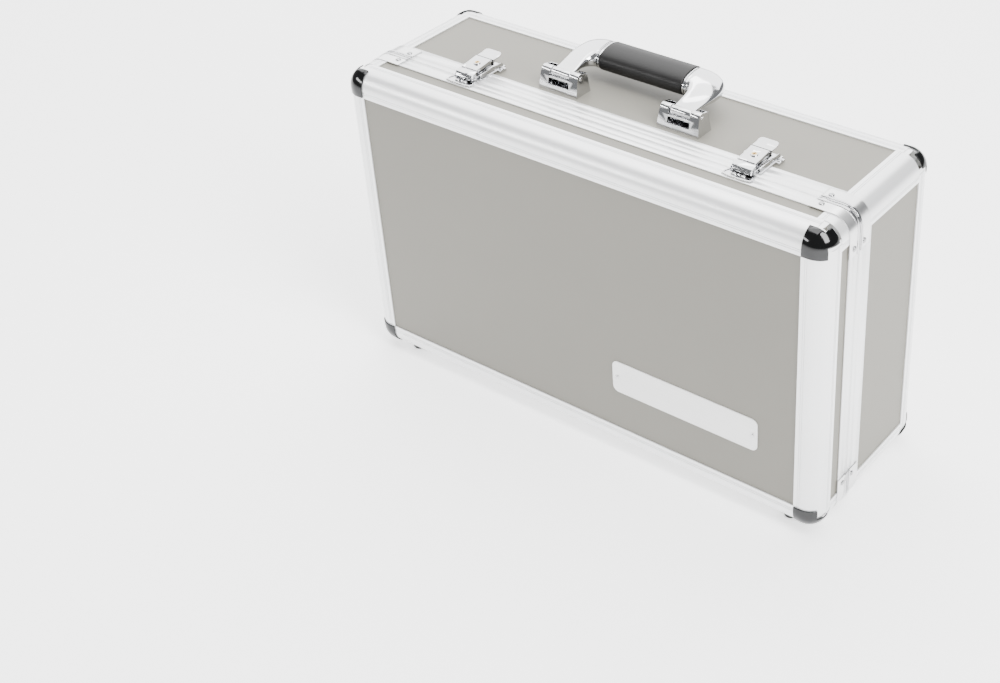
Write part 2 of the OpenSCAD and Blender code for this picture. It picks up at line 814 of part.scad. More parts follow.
// Base plate with side flanges, the two cheeks that carry the pins, and the keeper for the cam.
module latch_base_plates() {
    color([0.8, 0.81, 0.84])
        difference() {
            for (s = [-1, 1])
                latch_at(s) {
                    translate([-lb_half, 3, 0]) cube([2 * lb_half, lb_rear - 3, lb_t]);
                    translate([-lb_ear, lb_rear_y - lb_ear_d / 2, 0]) cube([2 * lb_ear, lb_ear_d, lb_t]);
                    translate([-lb_ear, lb_rear_y - lb_ear_d / 2, -panel_set])
                        cube([2 * lb_ear, lb_ear_d, panel_set]);
                    translate([-lb_half, lb_rear_y + lb_ear_d / 2, -panel_set])
                        cube([2 * lb_half, lb_rear - lb_rear_y - lb_ear_d / 2, panel_set]);
                    for (k = [-1, 1])
                        translate([k * (lb_half - 2), 0, 0])
                            across(0.5)
                                polygon([
                                    [4.4, 0.5], [5, lb_flange - 1], [6.5, lb_flange],
                                    [lb_rear - 4, lb_flange],
                                    [lb_rear - 1.6, lb_flange - 1.4], [lb_rear - 0.8, 0.5],
                                ]);
                    for (k = [-1, 1])
                        translate([k * (cheek_x + cheek_t / 2), 0, 0]) {
                            across(cheek_t / 2)
                                polygon([
                                    [3, 0.5], [3, 5.4], [3.6, 6], [lever_y, lever_z], [5.4, 7.5], [6.6, 7.5],
                                    [10.6, 6.4], [10.9, 0.5],
                                ]);
                            across_bore(lever_y, lever_z, cheek_r, cheek_t / 2);
                        }
                    translate([0, 0, 0])
                        across(2.4)
                            polygon([
                                [keeper_y + 2.2, 0.5], [keeper_y + 2.2, 5.5], [keeper_y, 5.5],
                                [keeper_y, 4.7], [keeper_y + 1.4, 4.7], [keeper_y + 1.4, 0.5],
                            ]);
                }
            latch_rivet_places() translate([0, 0, -5]) cylinder(r = hole_r, h = 10);
            for (s = [-1, 1])
                latch_at(s) {
                    across_bore(lever_y, lever_z, lever_pin_r, cheek_x + 3);
                    across_bore(hook_y, hook_z, hook_pin_r, cheek_x + 3);
                }
        }
}

// Round bar along X through (y, z), reaching h to both sides.
module across_bore(y, z, r, h) {
    translate([-h, y, z]) rotate([0, 90, 0]) cylinder(r = r, h = 2 * h);
}

module latch_pins() {
    color([0.7, 0.7, 0.72])
        for (s = [-1, 1])
            latch_at(s) {
                across_bore(lever_y, lever_z, lever_pin_r, cover_w / 2);
                across_bore(hook_y, hook_z, hook_pin_r, cheek_x + cheek_t);
            }
}

// Lever: sloped cover, side walls with an ear round the pin, and the thumb tab.
module lever() {
    wall_x = cover_w / 2 - cover_t / 2;
    ear_r = 1.84;
    color([0.82, 0.83, 0.86])
        difference() {
            union() {
                across(cover_w / 2)
                    polygon([
                        [lever_y - 0.8, 7.8], [lever_y - 0.8, 8.6], [23.4, 10.4], [23.4, 9.5],
                    ]);
                intersection() {
                    across(tab_w / 2)
                        polygon([
                            [22.6, tab_top - cover_t], [22.6, tab_top], [tab_bend, tab_top],
                            [tab_end - 1.5, tab_z], [tab_end, tab_z], [tab_end, tab_z - cover_t],
                            [tab_bend + 0.4, tab_top - cover_t],
                        ]);
                    translate([0, 0, 5]) tab_outline();
                }
                for (k = [-1, 1])
                    translate([k * wall_x, 0, 0]) {
                        across(cover_t / 2)
                            polygon([
                                [lever_y, lever_z + 1.84], [lever_y, lever_z - 1.84], [7, 3.8], [27, 5.2],
                                [28, 7.6], [28, 9.8], [23, 10.1],
                            ]);
                        across_bore(lever_y, lever_z, ear_r, cover_t / 2);
                        translate([k * 0.7, 0, 0])
                            across(0.7)
                                polygon([[8, 3.87], [8, 4.6], [26, 5.86], [26, 5.13]]);
                    }
            }
            across_bore(lever_y, lever_z, lever_pin_r + latch_fit, 20);
            for (k = [-1, 1])
                translate([k * (cheek_x + cheek_t / 2), 0, 0])
                    across_bore(lever_y, lever_z, cheek_r + 0.12, cheek_t / 2 + 0.15);
            translate([0, barrel_y, 2]) cylinder(r = barrel_r + barrel_fit, h = 12);
        }
}

// Plan outline that rounds the corners of the thumb tab.
module tab_outline() {
    r = 4;
    h = tab_w / 2;
    translate([-h, 22, 0]) cube([tab_w, tab_end - r - 22, 12]);
    translate([-h + r, tab_end - r, 0]) cube([tab_w - 2 * r, r, 12]);
    for (k = [-1, 1])
        translate([k * (h - r), tab_end - r, 0])
            intersection() {
                cylinder(r = r, h = 12);
                translate([k > 0 ? 0 : -r, 0, 0]) cube([r, r, 12]);
            }
}

module latch_left_lever() {
    latch_at(-1) lever();
}

module latch_right_lever() {
    latch_at(1) lever();
}

// Plan outline of the hook nose, with clipped front corners.
module nose_outline() {
    polygon([
        [-nose_half, 3], [-nose_half, -2.4], [-nose_half + 0.7, -4], [-nose_half + 2.2, -5.1],
        [nose_half - 2.2, -5.1], [nose_half - 0.7, -4], [nose_half, -2.4], [nose_half, 3],
    ]);
}

// Hook: eye on its pin, arms under and beside the cover, and a stepped nose over the lip.
module hook() {
    color([0.8, 0.81, 0.84])
        difference() {
            union() {
                intersection() {
                    across(nose_half)
                        polygon([
                            [2, 8.2], [-2.9, 6.4], [-3.9, 5.6], [-3.7, 5.2], [-4.5, 4.5], [-4.3, 4.1],
                            [-5.1, 3.4], [-5.1, 1.9], [-1.6, 1.9], [-1.6, 4], [0.6, 4], [0.6, 2.8], [2, 2.8],
                        ]);
                    linear_extrude(height = 9) nose_outline();
                }
                for (k = [-1, 1])
                    translate([k * (nose_half + 0.5), 0, 0])
                        across(0.6)
                            polygon([
                                [-3.2, 1.9], [-3.6, 2.8], [-2.4, 3.9], [10.2, 4.9],
                                [11.2, 4.1], [9.6, 3.2], [1, 1.9],
                            ]);
                across(hook_half)
                    polygon([[1.5, 2.8], [1.5, 4.5], [hook_y, 4.5], [hook_y, 2.8]]);
                across_bore(hook_y, hook_z, eye_r, hook_half);
            }
            across_bore(hook_y, hook_z, hook_pin_r + latch_fit, 20);
        }
}

module latch_left_hook() {
    latch_at(-1) hook();
}

module latch_right_hook() {
    latch_at(1) hook();
}

// Lock barrel with a keyhole, a collar under the cover and a cam that turns under the keeper.
module lock() {
    color([0.78, 0.62, 0.3])
        translate([0, barrel_y, 0])
            difference() {
                union() {
                    translate([0, 0, 4.4]) cylinder(r = barrel_r, h = 5.6);
                    translate([-1.4, -1.4, 3.4]) cube([cam_l + 1.4, 2.8, 1]);
                    translate([0, 0, 3.4]) cylinder(r = 2.2, h = 1.5);
                }
                translate([-0.45, -1.8, 7]) cube([0.9, 3.6, 5]);
                translate([0, 0, 7]) cylinder(r = 0.9, h = 5);
            }
}

module latch_left_lock() {
    latch_at(-1) lock();
}

module latch_right_lock() {
    latch_at(1) lock();
}

// ---- hinges ----

module hinge_at(s) {
    translate([s * hinge_x, y_part, z_low]) children();
}

module leaf_rivet_places(dir) {
    for (s = [-1, 1])
        hinge_at(s)
            for (k = [-1, 1])
                translate([k * hinge_w * 0.34, dir * (half_gap + rivet_back), 0]) children();
}

// Round bar along X on the hinge axis.
module knuckle(x1, x2, r) {
    translate([x1, 0, -hinge_drop]) rotate([0, 90, 0]) cylinder(r = r, h = x2 - x1);
}

module hinge_lid_leaves() {
    m = mid_knuckle / 2;
    color([0.7, 0.71, 0.73])
        difference() {
            for (s = [-1, 1])
                hinge_at(s) {
                    knuckle(-m, m, knuckle_r);
                    translate([-m, -4, -leaf_t]) cube([mid_knuckle, 3.7, leaf_t]);
                    translate([-hinge_w / 2, -leaf_d, -leaf_t]) cube([hinge_w, leaf_d - 3.4, leaf_t]);
                    translate([-m, -fin_t / 2, -hinge_drop - fin_reach])
                        cube([mid_knuckle, fin_t, fin_reach - 1.6]);
                }
            for (s = [-1, 1])
                hinge_at(s) knuckle(-m - 1, m + 1, hinge_pin_r + hinge_fit);
            leaf_rivet_places(-1) translate([0, 0, -5]) cylinder(r = hole_r, h = 8);
        }
}

module hinge_base_leaves() {
    m = mid_knuckle / 2 + knuckle_gap;
    h = hinge_w / 2;
    color([0.7, 0.71, 0.73])
        difference() {
            for (s = [-1, 1])
                hinge_at(s) {
                    for (k = [-1, 1])
                        mirror([k > 0 ? 0 : 1, 0, 0]) {
                            knuckle(m, h, knuckle_r);
                            translate([m, 0.3, -leaf_t]) cube([outer_knuckle, 3.7, leaf_t]);
                        }
                    translate([-h, 3.4, -leaf_t]) cube([hinge_w, leaf_d - 3.4, leaf_t]);
                }
            for (s = [-1, 1])
                hinge_at(s) knuckle(-h - 1, h + 1, hinge_pin_r + hinge_fit);
            leaf_rivet_places(1) translate([0, 0, -5]) cylinder(r = hole_r, h = 8);
        }
}

module hinge_pins() {
    color([0.6, 0.6, 0.62])
        for (s = [-1, 1])
            hinge_at(s) knuckle(-hinge_w / 2, hinge_w / 2, hinge_pin_r);
}

module lid_feet() {
    color([0.08, 0.08, 0.08])
        for (s = [-1, 1])
            translate([s * foot_x, y_front + foot_in, z_low]) foot();
}

// ---- base ----

module back_panel() {
    color([0.66, 0.65, 0.61]) from_back() face_board();
}

module base_strip(l) {
    from_front() side_board(l, base_rim_y - rim_in, case_d - panel_in);
}

module base_top_panel() {
    color([0.7, 0.69, 0.66])
        difference() {
            on_top() base_strip(case_w);
            top_holes();
        }
}

module base_bottom_panel() {
    color([0.7, 0.69, 0.66]) on_bottom() base_strip(case_w);
}

module base_left_panel() {
    color([0.7, 0.69, 0.66]) on_left() base_strip(case_h);
}

module base_right_panel() {
    color([0.7, 0.69, 0.66]) on_right() base_strip(case_h);
}

module rear_edge_top() {
    color([0.9, 0.9, 0.91]) on_top() from_back() ring_bar(case_w);
}

module rear_edge_bottom() {
    color([0.9, 0.9, 0.91]) on_bottom() from_back() ring_bar(case_w);
}

module rear_edge_left() {
    color([0.9, 0.9, 0.91]) on_left() from_back() ring_bar(case_h);
}

module rear_edge_right() {
    color([0.9, 0.9, 0.91]) on_right() from_back() ring_bar(case_h);
}

module base_corner_posts() {
    color([0.9, 0.9, 0.91])
        four_corners(1) post(leg_w + mitre_gap, case_d - lid_depth - half_gap);
}

module base_ball_corners() {
    color([0.75, 0.76, 0.78]) four_corners(1) ball_corner();
}

module base_rim_top() {
    color([0.88, 0.88, 0.89])
        difference() {
            on_top() base_side() rim_bar(case_w, base_rim_w - half_gap, true);
            latch_rivet_places() translate([0, 0, -6]) cylinder(r = hole_r, h = 10);
        }
}

module base_rim_bottom() {
    color([0.88, 0.88, 0.89])
        difference() {
            on_bottom() base_side() rim_bar(case_w, base_rim_w - half_gap, true);
            leaf_rivet_places(1) translate([0, 0, -2]) cylinder(r = hole_r, h = shank_l + 3);
        }
}

module base_rim_left() {
    color([0.88, 0.88, 0.89]) on_left() base_side() rim_bar(case_h, base_rim_w - half_gap, true);
}

module base_rim_right() {
    color([0.88, 0.88, 0.89]) on_right() base_side() rim_bar(case_h, base_rim_w - half_gap, true);
}

module base_rim_brackets() {
    color([0.83, 0.84, 0.86])
        four_corners(-1) rim_bracket(base_bracket_w, 1);
}

module base_rivets() {
    color([0.8, 0.81, 0.83]) {
        four_corners(-1) bracket_rivets(1);
        leaf_rivet_places(1) translate([0, 0, -leaf_t]) mirror([0, 0, 1]) rivet(shank_l);
        latch_rivet_places() translate([0, 0, lb_t]) rivet(lb_t + shank_l);
    }
}

module foam_back_pad() {
    color([0.16, 0.16, 0.17]) from_back() foam_pad();
}

// Strips of foam against the four sides of the base.
module foam_walls() {
    y1 = y_part + half_gap + 1.5;
    y2 = y_back - foam_in - foam_t - foam_gap;
    xa = x_out - foam_in;
    xb = xa - foam_wall;
    za = z_top - foam_in;
    zb = z_low + foam_in;
    color([0.18, 0.18, 0.19]) {
        box([-xa, y1, za - foam_wall], [xa, y2, za]);
        box([-xa, y1, zb], [xa, y2, zb + foam_wall]);
        box([xb, y1, zb + foam_wall + foam_gap], [xa, y2, za - foam_wall - foam_gap]);
        box([-xa, y1, zb + foam_wall + foam_gap], [-xb, y2, za - foam_wall - foam_gap]);
    }
}

// ---- handle: local frame on the pivot axis ----

module handle_at(s) {
    translate([s * handle_x, handle_y, z_top + handle_z]) children();
}

// Bracket: flared walls with a window in front, rolled knuckles for the pin on both sides of the
// hub, and a rear wall that the arm rests on.
module handle_brackets() {
    z0 = -handle_z - panel_set;
    roll = hb_knuckle_r;
    rear = hb_rear - 2.4;
    rest_z = (rear - hb_t) * tan(handle_tilt) + arm_bottom / cos(handle_tilt) - rest_gap;
    front_z = window_z + window_h + 1.6 - handle_z;
    slot = hub_w / 2 + 0.4;
    color([0.82, 0.83, 0.86])
        difference() {
            for (s = [-1, 1])
                handle_at(s)
                    intersection() {
                        rotate([90, 0, 0])
                            translate([0, 0, -hb_rear - 1])
                                linear_extrude(height = hb_front + hb_rear + 2)
                                    polygon([
                                        [-hb_w / 2, z0], [hb_w / 2, z0],
                                        [hb_w / 2 - hb_lean, roll + 1], [-hb_w / 2 + hb_lean, roll + 1],
                                    ]);
                        union() {
                            across(hb_w / 2)
                                polygon([
                                    [-hb_front, z0], [hb_rear, z0], [rear, 2.6], [0, roll - 0.1],
                                    [-roll + 0.3, 1], [-roll - 0.9, -1.2],
                                ]);
                            across_bore(0, 0, roll, hb_w / 2);
                        }
                    }
            for (s = [-1, 1])
                handle_at(s) {
                    difference() {
                        across(hb_w / 2 - hb_t - hb_lean)
                            polygon([
                                [-hb_front + hb_t, z0 + hb_floor], [hb_rear - hb_t, z0 + hb_floor],
                                [rear - hb_t, 8], [-roll - 0.9 + hb_t, 8], [-roll - 0.9 + hb_t, -1.2],
                            ]);
                        for (k = [-1, 1])
                            translate([k * (slot + hb_w / 2), 0, 0]) across_bore(0, 0, roll, hb_w / 2);
                    }
                    translate([-slot, -hb_front - 1, front_z]) cube([2 * slot, hb_front + 1, 20]);
                    translate([-slot - 1.4, roll + 0.5, rest_z]) cube([2 * slot + 2.8, hb_rear, 20]);
                    translate([-window_w / 2, -hb_front - 1, window_z - handle_z])
                        cube([window_w, hb_t + 3.5, window_h]);
                    across_bore(0, 0, handle_pin_r, hb_w);
                    for (k = [-1, 1])
                        translate([k * hb_screw_x, 0, z0 - 1]) cylinder(r = hole_r, h = 5);
                }
        }
}

module handle_pins() {
    color([0.7, 0.7, 0.72])
        for (s = [-1, 1])
            handle_at(s) across_bore(0, 0, handle_pin_r, hb_w / 2 - hb_lean / 2);
}

module handle_backing_plates() {
    color([0.6, 0.6, 0.62])
        difference() {
            for (s = [-1, 1])
                translate([s * handle_x - hb_w / 2, handle_y - hb_front, z_top - wall_t])
                    cube([hb_w, hb_front + hb_rear, inner_wall]);
            top_holes();
        }
}

module handle_screws() {
    color([0.7, 0.7, 0.72])
        for (s = [-1, 1])
            handle_at(s)
                for (k = [-1, 1])
                    translate([k * hb_screw_x, 0, -handle_z - panel_set + hb_floor])
                        rivet(hb_floor + panel_t + inner_wall);
}

// Half outline of the handle seen from above: an arm that widens into the shoulder.
function shoulder(n) = [
    for (i = [0 : n])
        let(a = 90 * i / n)
            [shoulder_in + (shoulder_x - shoulder_in) * cos(a), grip_s + (arm_l - grip_s) * sin(a)]
];

function arm_points() = concat(
    [
        [handle_x - hub_w / 2, 0], [handle_x + hub_w / 2, 0], [handle_x + hub_w / 2, 5],
        [handle_x + hub_w / 2 + 1.6, grip_s - grip_d * 0.6], [shoulder_x - 0.6, grip_s - grip_d * 0.25],
    ],
    shoulder(14),
    [
        [arm_in, arm_l], [arm_in, grip_s + grip_d * 0.2], [arm_in + arm_flare, grip_s - grip_d * 0.6],
    ]
);

// Handle frame in its own frame: X along the pivots, Y along the arms, Z up.
module handle_frame() {
    gx = grip_l / 2 + 0.4;
    color([0.82, 0.83, 0.86])
        translate([0, handle_y, z_top + handle_z])
            rotate([handle_tilt, 0, 0])
                difference() {
                    union() {
                        for (s = [0, 1])
                            mirror([s, 0, 0]) {
                                translate([0, 0, arm_bottom])
                                    linear_extrude(height = arm_t) polygon(arm_points());
                                translate([handle_x, 0, 0]) across_bore(0, 0, hub_r, hub_w / 2);
                                translate([(gx + arm_in + 1) / 2, 0, 0])
                                    across((arm_in + 1 - gx) / 2) polygon(grip_points(32, 0.95));
                            }
                        translate([-gx - 1, grip_s - core_w / 2, grip_t - core_t / 2])
                            cube([2 * gx + 2, core_w, core_t]);
                    }
                    across_bore(0, 0, handle_pin_r + handle_fit, shoulder_x + 5);
                }
}

// Section of the grip, a flattened oval, scaled by k.
function grip_points(n, k) = [
    for (i = [0 : n - 1])
        let(a = 360 * i / n, c = cos(a), s = sin(a))
            [
                grip_s + k * grip_d / 2 * sign(c) * pow(abs(c), 0.85),
                grip_t + k * grip_h / 2 * sign(s) * pow(abs(s), 0.85),
            ]
];

module handle_grip() {
    color([0.12, 0.12, 0.13])
        translate([0, handle_y, z_top + handle_z])
            rotate([handle_tilt, 0, 0])
                difference() {
                    across(grip_l / 2) polygon(grip_points(40, 1));
                    translate([-grip_l, grip_s - core_w / 2 - core_fit, grip_t - core_t / 2 - core_fit])
                        cube([2 * grip_l, core_w + 2 * core_fit, core_t + 2 * core_fit]);
                }
}

module base_feet() {
    color([0.08, 0.08, 0.08])
        for (s = [-1, 1])
            translate([s * foot_x, y_back - foot_in, z_low]) foot();
}

lid_face_panel();
lid_top_panel();
lid_bottom_panel();
lid_left_panel();
lid_right_panel();
lid_edge_top();
lid_edge_bottom();
lid_edge_left();
lid_edge_right();
lid_corner_posts();
lid_ball_corners();
lid_rim_top();
lid_rim_bottom();
lid_rim_left();
lid_rim_right();
lid_rim_brackets();
lid_rivets();
lid_foam_pad();
front_plate();
front_plate_pins();
latch_catches();
hinge_lid_leaves();
lid_feet();
back_panel();
base_top_panel();
base_bottom_panel();
base_left_panel();
base_right_panel();
rear_edge_top();
rear_edge_bottom();
rear_edge_left();
rear_edge_right();
base_corner_posts();
base_ball_corners();
base_rim_top();
base_rim_bottom();
base_rim_left();
base_rim_right();
base_rim_brackets();
base_rivets();
foam_back_pad();
foam_walls();
handle_brackets();
handle_pins();
handle_backing_plates();
handle_screws();
hinge_base_leaves();
hinge_pins();
base_feet();
latch_base_plates();
latch_pins();
handle_frame();
handle_grip();
latch_left_lever();
latch_right_lever();
latch_left_hook();
latch_right_hook();
latch_left_lock();
latch_right_lock();
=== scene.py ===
"""Studio picture of a rigid carrying case for a pedalboard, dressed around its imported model.

The case stands upright: the lid with the bare plate faces forward, latches and handle are on top.
Everything is in metres, in the model's own frame: X across, Y from the lid to the back, Z up.
"""

import json

import bmesh
import bpy
import numpy as np
from mathutils import Matrix, Vector


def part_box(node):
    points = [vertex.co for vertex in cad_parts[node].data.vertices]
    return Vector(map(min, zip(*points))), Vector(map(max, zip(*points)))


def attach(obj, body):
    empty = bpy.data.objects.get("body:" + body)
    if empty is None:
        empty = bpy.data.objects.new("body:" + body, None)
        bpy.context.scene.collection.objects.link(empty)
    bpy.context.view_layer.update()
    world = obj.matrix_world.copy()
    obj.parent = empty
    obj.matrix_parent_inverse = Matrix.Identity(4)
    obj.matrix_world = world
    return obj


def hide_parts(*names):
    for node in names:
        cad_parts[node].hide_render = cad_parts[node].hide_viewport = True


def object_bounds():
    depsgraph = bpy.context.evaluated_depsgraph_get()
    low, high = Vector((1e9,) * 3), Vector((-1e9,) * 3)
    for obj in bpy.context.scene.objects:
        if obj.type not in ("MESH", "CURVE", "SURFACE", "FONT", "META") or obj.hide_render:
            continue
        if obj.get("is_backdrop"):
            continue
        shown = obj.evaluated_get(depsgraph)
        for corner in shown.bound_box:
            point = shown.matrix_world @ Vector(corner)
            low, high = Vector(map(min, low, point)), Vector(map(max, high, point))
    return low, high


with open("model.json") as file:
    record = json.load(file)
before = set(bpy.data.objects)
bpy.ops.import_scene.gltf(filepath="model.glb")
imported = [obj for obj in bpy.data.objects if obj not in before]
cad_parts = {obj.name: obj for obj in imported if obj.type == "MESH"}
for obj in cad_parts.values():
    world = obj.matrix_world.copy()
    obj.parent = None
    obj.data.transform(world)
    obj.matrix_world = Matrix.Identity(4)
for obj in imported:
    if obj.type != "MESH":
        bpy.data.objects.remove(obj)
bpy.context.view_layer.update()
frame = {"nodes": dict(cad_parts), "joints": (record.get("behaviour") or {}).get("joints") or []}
nodes = frame["nodes"]


# ---- camera: the photograph's viewpoint -------------------------------------------------
# The camera stands in front of the right end of the lid and above the case. Its place, axes
# and focal length were solved on the case's straight edges.

camera_place = Vector((0.74261, -0.95417, 0.95306))
camera_right = Vector((0.81417, 0.58030, -0.01939)).normalized()
camera_ahead = Vector((-0.49316, 0.67353, -0.55059)).normalized()
camera_up = camera_right.cross(camera_ahead)
camera_data = bpy.data.cameras.new("camera")
camera_data.sensor_width = 36.0
camera_data.lens = 58.126
camera_data.shift_x = -0.16885
camera_data.shift_y = -0.0922
camera = bpy.data.objects.new("camera", camera_data)
bpy.context.scene.collection.objects.link(camera)
camera.matrix_world = Matrix.Translation(camera_place) @ Matrix((
    (camera_right.x, camera_up.x, -camera_ahead.x),
    (camera_right.y, camera_up.y, -camera_ahead.y),
    (camera_right.z, camera_up.z, -camera_ahead.z),
)).to_4x4()
bpy.context.scene.camera = camera


# ---- side panels: grey laminate on plywood ----------------------------------------------
# The panels are plywood faced with a matt, warm grey high pressure laminate. The face has a
# very fine orange peel and a faint cloudiness from the press; it slides into slots.

class Value:
    """A number that varies over a surface: a shader socket whose operators add Math nodes."""

    def __init__(self, finish, socket):
        self.finish = finish
        self.socket = socket

    def math(self, operation, a, b=None):
        """Result of one Math node on a and b, each a Value or a plain number."""
        inputs = {0: a} if b is None else {0: a, 1: b}
        return self.finish.node("ShaderNodeMath", inputs, operation=operation)

    def __add__(self, other):
        return self.math("ADD", self, other)

    def __radd__(self, other):
        return self.math("ADD", other, self)

    def __sub__(self, other):
        return self.math("SUBTRACT", self, other)

    def __rsub__(self, other):
        return self.math("SUBTRACT", other, self)

    def __mul__(self, other):
        return self.math("MULTIPLY", self, other)

    def __rmul__(self, other):
        return self.math("MULTIPLY", other, self)

    def __truediv__(self, other):
        return self.math("DIVIDE", self, other)

    def __pow__(self, other):
        return self.math("POWER", self, other)

    def __abs__(self):
        return self.math("ABSOLUTE", self)

    def cosine(self):
        """Cosine of the value, taken in radians."""
        return self.math("COSINE", self)


class Finish:
    """One material: a Principled shader and the nodes that feed it."""

    def __init__(self, name, **constants):
        self.material = bpy.data.materials.new(name)
        self.material.use_nodes = True
        self.tree = self.material.node_tree
        self.shader = self.tree.nodes["Principled BSDF"]
        for socket, value in constants.items():
            self.shader.inputs[socket.replace("_", " ")].default_value = value
        self.place = self.node("ShaderNodeTexCoord", {}, out="Object")

    def node(self, kind, inputs, out=0, ramp=None, **settings):
        """A node of any kind: its settings, then the values or links of its sockets."""
        made = self.tree.nodes.new(kind)
        for key, value in settings.items():
            setattr(made, key, value)
        if ramp:
            while len(made.color_ramp.elements) < len(ramp):
                made.color_ramp.elements.new(0.5)
            for element, (at, colour) in zip(made.color_ramp.elements, ramp):
                element.position = at
                element.color = colour if isinstance(colour, tuple) else (colour, colour, colour, 1)
        for key, value in inputs.items():
            if isinstance(value, Value):
                self.tree.links.new(value.socket, made.inputs[key])
            else:
                made.inputs[key].default_value = value
        return Value(self, made.outputs[out])

    def noise(self, scale, detail=2.0, rough=0.5, at=None):
        """Fractal noise with about one feature per 1/scale metres, from 0 to 1."""
        return self.node("ShaderNodeTexNoise", {
            "Vector": at or self.place, "Scale": scale, "Detail": detail, "Roughness": rough})

    def stretched(self, scale):
        """Object coordinates with each axis multiplied by its own factor."""
        return self.node("ShaderNodeMapping", {"Vector": self.place, "Scale": scale})

    def along(self, axis):
        """Object coordinate along one axis, X, Y or Z."""
        return self.node("ShaderNodeSeparateXYZ", {0: self.place}, out=axis)

    def rise(self, value, start, end):
        """Goes from 0 to 1 as value goes from start to end."""
        return self.node("ShaderNodeMapRange", {0: value, 1: start, 2: end})

    def ramp(self, value, *stops):
        """Colour or grey that follows the stops as value goes from 0 to 1."""
        return self.node("ShaderNodeValToRGB", {0: value}, ramp=stops)

    def mix(self, factor, a, b):
        """Colour that goes from a to b with factor."""
        return self.node("ShaderNodeMix", {0: factor, 6: a, 7: b}, out=2, data_type="RGBA")

    def feed(self, **links):
        """Joins varying values to the shader's sockets."""
        for socket, value in links.items():
            self.tree.links.new(value.socket, self.shader.inputs[socket.replace("_", " ")])

    def shade(self, factor, colour):
        """Takes the base colour that is already fed towards another colour by factor."""
        before = Value(self, self.shader.inputs["Base Color"].links[0].from_socket)
        self.feed(Base_Color=self.mix(factor, before, colour))

    def relief(self, height, depth, strength=1.0):
        """Surface relief of the given depth in metres."""
        self.feed(Normal=self.node("ShaderNodeBump", {
            "Height": height, "Distance": depth, "Strength": strength}))


def dress(finish, *pieces):
    """Gives a finish to CAD nodes, by name, or to new pieces."""
    for piece in pieces:
        mesh = (nodes[piece] if isinstance(piece, str) else piece).data
        mesh.materials.clear()
        mesh.materials.append(finish.material)


laminate = Finish("grey_laminate", Specular_IOR_Level=0.4)
peel = laminate.noise(900.0, 2.0, 0.55)
cloud = laminate.noise(7.0, 3.0, 0.6)
speck = laminate.noise(2600.0, 1.0, 0.4)
laminate.feed(
    Base_Color=laminate.mix(cloud * 0.6 + speck * 0.4, (0.164, 0.157, 0.134, 1), (0.206, 0.197, 0.169, 1)),
    Roughness=0.50 + cloud * 0.10 - peel * 0.06,
)
laminate.relief(peel, 0.00008, 0.35)
dress(laminate, *[name for name in nodes if name.endswith("_panel")])


# ---- edge extrusions: satin anodised aluminium -------------------------------------------
# Angle profiles with a rounded outer edge, mitred at the corners. Flat lips with two fine
# flutes grip the panels. The die leaves faint lines along each; wear brightens them.

def extruded(name, axis, rib=None):
    """Satin anodised aluminium whose die lines run along one axis (0, 1 or 2).

    Between the two Y places of a rib the face swells as -cos(2 pi t).
    """
    across = [240.0, 240.0, 240.0]
    across[axis] = 1.5
    metal = Finish(name, Metallic=0.6, Specular_IOR_Level=0.6)
    lines = metal.noise(1.0, 3.0, 0.6, at=metal.stretched(across))
    bloom = metal.noise(14.0, 2.0, 0.5)
    wear = metal.ramp(metal.noise(55.0, 4.0, 0.65), (0.60, 0.0), (0.78, 1.0))
    height = lines * 0.06
    if rib:
        turn = (metal.along("Y") - rib[0]) * (2 * np.pi / (rib[1] - rib[0]))
        height = height - turn.cosine()
    metal.feed(
        Base_Color=metal.mix(lines * 0.55 + bloom * 0.45, (0.76, 0.765, 0.77, 1), (0.90, 0.905, 0.91, 1)),
        Roughness=0.34 + lines * 0.10 - bloom * 0.05 + wear * 0.07,
    )
    metal.relief(height, 0.0003)
    return metal


along_width = extruded("anodised_along_width", 0)
along_depth = extruded("anodised_along_depth", 1)
along_height = extruded("anodised_along_height", 2)
for ring in ("lid_edge", "rear_edge"):
    dress(along_width, f"{ring}_top", f"{ring}_bottom")
    dress(along_height, f"{ring}_left", f"{ring}_right")
dress(along_depth, "lid_corner_posts", "base_corner_posts")


# ---- rim extrusions: satin anodised aluminium ----------------------------------------------
# Flat profiles on both sides of the parting, held by the brackets. The face of each swells
# into one broad, shallow rib.

def finer(name, body, finish, width=0.00025, segments=2, angle=35.0, mend=None):
    """Copy of a CAD node with its sharp edges rounded by width, in the node's place.

    The mend, if any, moves the vertices of the copy before its edges are rounded.
    """
    mesh = nodes[name].data.copy()
    mesh.name = f"{name}_rounded"
    work = bmesh.new()
    work.from_mesh(mesh)
    bmesh.ops.remove_doubles(work, verts=work.verts, dist=2e-6)
    if mend:
        for vertex in work.verts:
            vertex.co = mend(vertex.co)
        bmesh.ops.remove_doubles(work, verts=work.verts, dist=2e-6)
    bmesh.ops.dissolve_limit(work, angle_limit=0.02, verts=work.verts, edges=work.edges)
    sharp = [e for e in work.edges
             if len(e.link_faces) == 2 and e.calc_face_angle(0) > np.radians(angle)]
    bmesh.ops.bevel(work, geom=sharp, offset=width, segments=segments, profile=0.5,
                    affect="EDGES", clamp_overlap=True, harden_normals=False)
    bmesh.ops.triangulate(work, faces=[f for f in work.faces if len(f.verts) > 4])
    for face in work.faces:
        face.smooth = True
    work.to_mesh(mesh)
    work.free()
    piece = bpy.data.objects.new(mesh.name, mesh)
    bpy.context.scene.collection.objects.link(piece)
    mesh.set_sharp_from_angle(angle=np.radians(50.0))
    dress(finish, piece)
    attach(piece, body)
    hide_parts(name)
    return piece


def level(axis, face):
    """Mend that brings what lies up to 0.4 mm below an outer face up to that face."""
    def mend(place):
        lifted = place.copy()
        if abs(place[axis] - face) < 0.0004:
            lifted[axis] = face
        return lifted
    return mend


